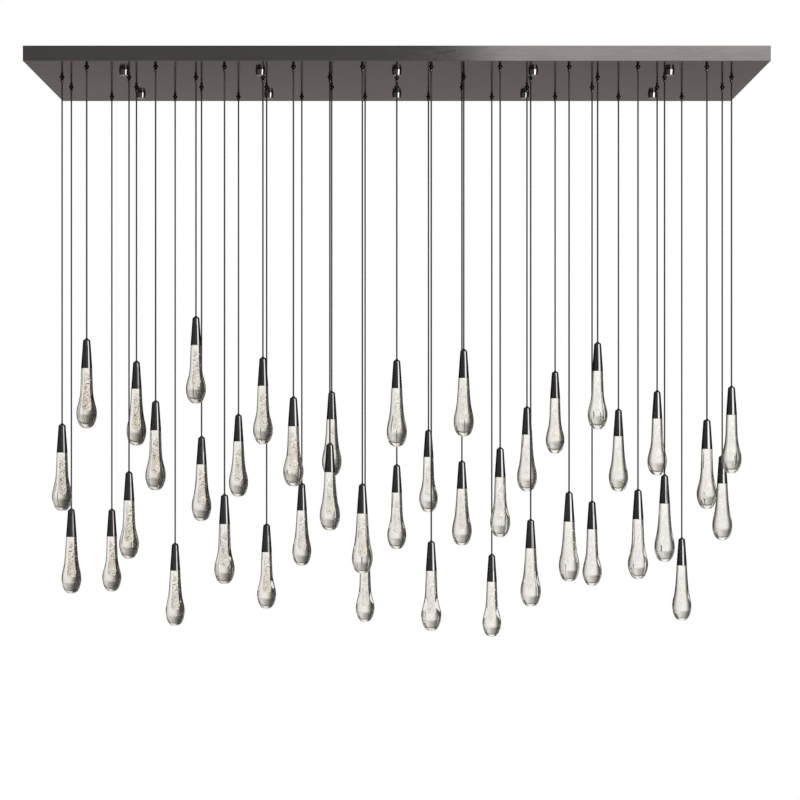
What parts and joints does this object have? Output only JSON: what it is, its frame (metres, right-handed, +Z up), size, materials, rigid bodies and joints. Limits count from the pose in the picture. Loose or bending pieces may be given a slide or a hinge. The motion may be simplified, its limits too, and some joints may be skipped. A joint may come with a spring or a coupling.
{
  "type": "linear crystal drop chandelier",
  "caption": "Long rectangular ceiling canopy with rows of clear glass teardrops, each on its own thin cord under a tapered dark cap, hung at staggered heights.",
  "frame": {"origin": "middle of the ceiling plane, on the top face of the middle crossbar", "axes": "+X along the canopy, +Z up into the ceiling, the pictured front faces -Y"},
  "size_m": [1.83, 0.457, 1.497],
  "materials": {
    "canopy_metal": "polished gunmetal plate",
    "zinc_steel": "zinc plated",
    "polished_nickel": "mirror polished",
    "grip_metal": "polished black nickel",
    "cap_metal": "polished black nickel",
    "cord_sheath": "smooth dark sheath",
    "drop_glass": "clear hand made glass",
    "seeded_core": "glass full of fine bubbles, lit from above",
    "lamp_module": "warm white lamp module",
    "driver_plastic": "moulded white housing",
    "terminal_plastic": "moulded nylon"
  },
  "bodies": {
    "canopy": {"canopy_pan": "canopy_metal", "ceiling_crossbar_1": "zinc_steel", "ceiling_crossbar_2": "zinc_steel", "ceiling_crossbar_3": "zinc_steel", "ceiling_crossbar_4": "zinc_steel", "ceiling_crossbar_5": "zinc_steel", "crossbar_studs": "zinc_steel", "canopy_cap_nuts": "polished_nickel", "cord_grips": "grip_metal", "lamp_driver_left": "driver_plastic", "lamp_driver_right": "driver_plastic", "terminal_block": "terminal_plastic", "canopy_weld_studs": "zinc_steel", "weld_stud_nuts": "zinc_steel"},
    "pendant_front_01": {"pendant_front_01": "drop_glass"},
    "pendant_front_02": {"pendant_front_02": "drop_glass"},
    "pendant_front_03": {"pendant_front_03": "drop_glass"},
    "pendant_front_04": {"pendant_front_04": "drop_glass"},
    "pendant_front_05": {"pendant_front_05": "drop_glass"},
    "pendant_front_06": {"pendant_front_06": "drop_glass"},
    "pendant_front_07": {"pendant_front_07": "drop_glass"},
    "pendant_front_08": {"pendant_front_08": "drop_glass"},
    "pendant_front_09": {"pendant_front_09": "drop_glass"},
    "pendant_front_10": {"pendant_front_10": "drop_glass"},
    "pendant_second_01": {"pendant_second_01": "drop_glass"},
    "pendant_second_02": {"pendant_second_02": "drop_glass"},
    "pendant_second_03": {"pendant_second_03": "drop_glass"},
    "pendant_second_04": {"pendant_second_04": "drop_glass"},
    "pendant_second_05": {"pendant_second_05": "drop_glass"},
    "pendant_second_06": {"pendant_second_06": "drop_glass"},
    "pendant_second_07": {"pendant_second_07": "drop_glass"},
    "pendant_second_08": {"pendant_second_08": "drop_glass"},
    "pendant_second_09": {"pendant_second_09": "drop_glass"},
    "pendant_second_10": {"pendant_second_10": "drop_glass"},
    "pendant_second_11": {"pendant_second_11": "drop_glass"},
    "pendant_third_01": {"pendant_third_01": "drop_glass"},
    "pendant_third_02": {"pendant_third_02": "drop_glass"},
    "pendant_third_03": {"pendant_third_03": "drop_glass"},
    "pendant_third_04": {"pendant_third_04": "drop_glass"},
    "pendant_third_05": {"pendant_third_05": "drop_glass"},
    "pendant_third_06": {"pendant_third_06": "drop_glass"},
    "pendant_third_07": {"pendant_third_07": "drop_glass"},
    "pendant_third_08": {"pendant_third_08": "drop_glass"},
    "pendant_third_09": {"pendant_third_09": "drop_glass"},
    "pendant_third_10": {"pendant_third_10": "drop_glass"},
    "pendant_third_11": {"pendant_third_11": "drop_glass"},
    "pendant_back_01": {"pendant_back_01": "drop_glass"},
    "pendant_back_02": {"pendant_back_02": "drop_glass"},
    "pendant_back_03": {"pendant_back_03": "drop_glass"},
    "pendant_back_04": {"pendant_back_04": "drop_glass"},
    "pendant_back_05": {"pendant_back_05": "drop_glass"},
    "pendant_back_06": {"pendant_back_06": "drop_glass"},
    "pendant_back_07": {"pendant_back_07": "drop_glass"},
    "pendant_back_08": {"pendant_back_08": "drop_glass"},
    "pendant_back_09": {"pendant_back_09": "drop_glass"},
    "pendant_back_10": {"pendant_back_10": "drop_glass"}
  },
  "joints": [
    {"name": "swing_front_01", "type": "hinge", "parent": "canopy", "child": "pendant_front_01", "pos_m": [-0.7695, -0.1725, -0.0506], "axis": [0, 1, 0], "range_deg": [-7.5, 7.5]},
    {"name": "swing_front_02", "type": "hinge", "parent": "canopy", "child": "pendant_front_02", "pos_m": [-0.5985, -0.1725, -0.0506], "axis": [0, 1, 0], "range_deg": [-6.3, 6.3]},
    {"name": "swing_front_03", "type": "hinge", "parent": "canopy", "child": "pendant_front_03", "pos_m": [-0.4275, -0.1725, -0.0506], "axis": [0, 1, 0], "range_deg": [-5.1, 5.1]},
    {"name": "swing_front_04", "type": "hinge", "parent": "canopy", "child": "pendant_front_04", "pos_m": [-0.2565, -0.1725, -0.0506], "axis": [0, 1, 0], "range_deg": [-6.4, 6.4]},
    {"name": "swing_front_05", "type": "hinge", "parent": "canopy", "child": "pendant_front_05", "pos_m": [-0.0855, -0.1725, -0.0506], "axis": [0, 1, 0], "range_deg": [-5.2, 5.2]},
    {"name": "swing_front_06", "type": "hinge", "parent": "canopy", "child": "pendant_front_06", "pos_m": [0.0855, -0.1725, -0.0506], "axis": [0, 1, 0], "range_deg": [-4.7, 4.7]},
    {"name": "swing_front_07", "type": "hinge", "parent": "canopy", "child": "pendant_front_07", "pos_m": [0.2565, -0.1725, -0.0506], "axis": [0, 1, 0], "range_deg": [-5.7, 5.7]},
    {"name": "swing_front_08", "type": "hinge", "parent": "canopy", "child": "pendant_front_08", "pos_m": [0.4275, -0.1725, -0.0506], "axis": [0, 1, 0], "range_deg": [-5.2, 5.2]},
    {"name": "swing_front_09", "type": "hinge", "parent": "canopy", "child": "pendant_front_09", "pos_m": [0.5985, -0.1725, -0.0506], "axis": [0, 1, 0], "range_deg": [-5.2, 5.2]},
    {"name": "swing_front_10", "type": "hinge", "parent": "canopy", "child": "pendant_front_10", "pos_m": [0.7695, -0.1725, -0.0506], "axis": [0, 1, 0], "range_deg": [-6, 6]},
    {"name": "swing_second_01", "type": "hinge", "parent": "canopy", "child": "pendant_second_01", "pos_m": [-0.855, -0.0575, -0.0506], "axis": [0, 1, 0], "range_deg": [-6, 6]},
    {"name": "swing_second_02", "type": "hinge", "parent": "canopy", "child": "pendant_second_02", "pos_m": [-0.684, -0.0575, -0.0506], "axis": [0, 1, 0], "range_deg": [-5.4, 5.4]},
    {"name": "swing_second_03", "type": "hinge", "parent": "canopy", "child": "pendant_second_03", "pos_m": [-0.513, -0.0575, -0.0506], "axis": [0, 1, 0], "range_deg": [-8.1, 8.1]},
    {"name": "swing_second_04", "type": "hinge", "parent": "canopy", "child": "pendant_second_04", "pos_m": [-0.342, -0.0575, -0.0506], "axis": [0, 1, 0], "range_deg": [-7.1, 7.1]},
    {"name": "swing_second_05", "type": "hinge", "parent": "canopy", "child": "pendant_second_05", "pos_m": [-0.171, -0.0575, -0.0506], "axis": [0, 1, 0], "range_deg": [-5.7, 5.7]},
    {"name": "swing_second_06", "type": "hinge", "parent": "canopy", "child": "pendant_second_06", "pos_m": [0, -0.0575, -0.0506], "axis": [0, 1, 0], "range_deg": [-7.1, 7.1]},
    {"name": "swing_second_07", "type": "hinge", "parent": "canopy", "child": "pendant_second_07", "pos_m": [0.171, -0.0575, -0.0506], "axis": [0, 1, 0], "range_deg": [-7.3, 7.3]},
    {"name": "swing_second_08", "type": "hinge", "parent": "canopy", "child": "pendant_second_08", "pos_m": [0.342, -0.0575, -0.0506], "axis": [0, 1, 0], "range_deg": [-4.9, 4.9]},
    {"name": "swing_second_09", "type": "hinge", "parent": "canopy", "child": "pendant_second_09", "pos_m": [0.513, -0.0575, -0.0506], "axis": [0, 1, 0], "range_deg": [-7.5, 7.5]},
    {"name": "swing_second_10", "type": "hinge", "parent": "canopy", "child": "pendant_second_10", "pos_m": [0.684, -0.0575, -0.0506], "axis": [0, 1, 0], "range_deg": [-5.3, 5.3]},
    {"name": "swing_second_11", "type": "hinge", "parent": "canopy", "child": "pendant_second_11", "pos_m": [0.855, -0.0575, -0.0506], "axis": [0, 1, 0], "range_deg": [-6.6, 6.6]},
    {"name": "swing_third_01", "type": "hinge", "parent": "canopy", "child": "pendant_third_01", "pos_m": [-0.855, 0.0575, -0.0506], "axis": [0, 1, 0], "range_deg": [-4.9, 4.9]},
    {"name": "swing_third_02", "type": "hinge", "parent": "canopy", "child": "pendant_third_02", "pos_m": [-0.684, 0.0575, -0.0506], "axis": [0, 1, 0], "range_deg": [-7.1, 7.1]},
    {"name": "swing_third_03", "type": "hinge", "parent": "canopy", "child": "pendant_third_03", "pos_m": [-0.513, 0.0575, -0.0506], "axis": [0, 1, 0], "range_deg": [-5.8, 5.8]},
    {"name": "swing_third_04", "type": "hinge", "parent": "canopy", "child": "pendant_third_04", "pos_m": [-0.342, 0.0575, -0.0506], "axis": [0, 1, 0], "range_deg": [-4.8, 4.8]},
    {"name": "swing_third_05", "type": "hinge", "parent": "canopy", "child": "pendant_third_05", "pos_m": [-0.171, 0.0575, -0.0506], "axis": [0, 1, 0], "range_deg": [-6.5, 6.5]},
    {"name": "swing_third_06", "type": "hinge", "parent": "canopy", "child": "pendant_third_06", "pos_m": [0, 0.0575, -0.0506], "axis": [0, 1, 0], "range_deg": [-5.4, 5.4]},
    {"name": "swing_third_07", "type": "hinge", "parent": "canopy", "child": "pendant_third_07", "pos_m": [0.171, 0.0575, -0.0506], "axis": [0, 1, 0], "range_deg": [-5.5, 5.5]},
    {"name": "swing_third_08", "type": "hinge", "parent": "canopy", "child": "pendant_third_08", "pos_m": [0.342, 0.0575, -0.0506], "axis": [0, 1, 0], "range_deg": [-6.3, 6.3]},
    {"name": "swing_third_09", "type": "hinge", "parent": "canopy", "child": "pendant_third_09", "pos_m": [0.513, 0.0575, -0.0506], "axis": [0, 1, 0], "range_deg": [-5, 5]},
    {"name": "swing_third_10", "type": "hinge", "parent": "canopy", "child": "pendant_third_10", "pos_m": [0.684, 0.0575, -0.0506], "axis": [0, 1, 0], "range_deg": [-6.5, 6.5]},
    {"name": "swing_third_11", "type": "hinge", "parent": "canopy", "child": "pendant_third_11", "pos_m": [0.855, 0.0575, -0.0506], "axis": [0, 1, 0], "range_deg": [-5.5, 5.5]},
    {"name": "swing_back_01", "type": "hinge", "parent": "canopy", "child": "pendant_back_01", "pos_m": [-0.7695, 0.1725, -0.0506], "axis": [0, 1, 0], "range_deg": [-4.9, 4.9]},
    {"name": "swing_back_02", "type": "hinge", "parent": "canopy", "child": "pendant_back_02", "pos_m": [-0.5985, 0.1725, -0.0506], "axis": [0, 1, 0], "range_deg": [-4.6, 4.6]},
    {"name": "swing_back_03", "type": "hinge", "parent": "canopy", "child": "pendant_back_03", "pos_m": [-0.4275, 0.1725, -0.0506], "axis": [0, 1, 0], "range_deg": [-6.1, 6.1]},
    {"name": "swing_back_04", "type": "hinge", "parent": "canopy", "child": "pendant_back_04", "pos_m": [-0.2565, 0.1725, -0.0506], "axis": [0, 1, 0], "range_deg": [-5.2, 5.2]},
    {"name": "swing_back_05", "type": "hinge", "parent": "canopy", "child": "pendant_back_05", "pos_m": [-0.0855, 0.1725, -0.0506], "axis": [0, 1, 0], "range_deg": [-4.6, 4.6]},
    {"name": "swing_back_06", "type": "hinge", "parent": "canopy", "child": "pendant_back_06", "pos_m": [0.0855, 0.1725, -0.0506], "axis": [0, 1, 0], "range_deg": [-5.9, 5.9]},
    {"name": "swing_back_07", "type": "hinge", "parent": "canopy", "child": "pendant_back_07", "pos_m": [0.2565, 0.1725, -0.0506], "axis": [0, 1, 0], "range_deg": [-4.5, 4.5]},
    {"name": "swing_back_08", "type": "hinge", "parent": "canopy", "child": "pendant_back_08", "pos_m": [0.4275, 0.1725, -0.0506], "axis": [0, 1, 0], "range_deg": [-6.9, 6.9]},
    {"name": "swing_back_09", "type": "hinge", "parent": "canopy", "child": "pendant_back_09", "pos_m": [0.5985, 0.1725, -0.0506], "axis": [0, 1, 0], "range_deg": [-6.2, 6.2]},
    {"name": "swing_back_10", "type": "hinge", "parent": "canopy", "child": "pendant_back_10", "pos_m": [0.7695, 0.1725, -0.0506], "axis": [0, 1, 0], "range_deg": [-4.6, 4.6]}
  ]
}
